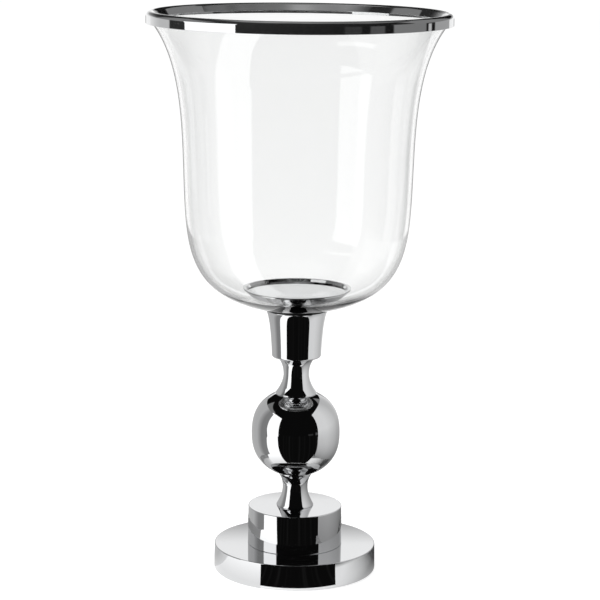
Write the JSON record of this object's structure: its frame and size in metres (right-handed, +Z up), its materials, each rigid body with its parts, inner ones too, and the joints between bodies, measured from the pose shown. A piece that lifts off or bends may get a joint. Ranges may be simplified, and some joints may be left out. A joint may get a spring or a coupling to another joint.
{
  "type": "hurricane candle holder",
  "caption": "Hurricane candle holder: flared glass bell with a polished metal rim and a lift-out candle plate, on a turned stem with a ball, over a drum and a weighted round foot.",
  "frame": {"origin": "centre of the foot's underside, on the surface that the holder stands on", "axes": "+Z up along the stem, +X to the right and +Y away from the viewer of the picture"},
  "size_m": [0.3, 0.3, 0.5636],
  "materials": {
    "chrome": "mirror polished",
    "cast_iron": "raw casting",
    "zinc_steel": "bright zinc plated",
    "rubber": "matte",
    "felt": "pressed felt",
    "nylon": "satin",
    "glass": "clear and smooth",
    "sealant": "translucent silicone"
  },
  "bodies": {
    "stand": {"floor_pad": "felt", "base_disc": "chrome", "base_weight": "cast_iron", "foot_nut": "zinc_steel", "foot_spring_washer": "zinc_steel", "foot_washer": "zinc_steel", "tie_rod": "zinc_steel", "base_drum": "chrome", "lower_neck": "chrome", "ball": "chrome", "upper_neck": "chrome", "stem_cup": "chrome", "lower_gasket": "rubber", "glass_bell": "glass", "rod_sleeve": "nylon", "upper_gasket": "rubber", "clamp_washer": "zinc_steel", "lock_nut": "zinc_steel", "rim_seal": "sealant", "rim_ring": "chrome"},
    "plate": {"candle_plate": "chrome"}
  },
  "joints": [
    {"name": "plate_lift", "type": "slide", "parent": "stand", "child": "plate", "axis": [0, 0, 1], "range_m": [0, 0.3]}
  ]
}
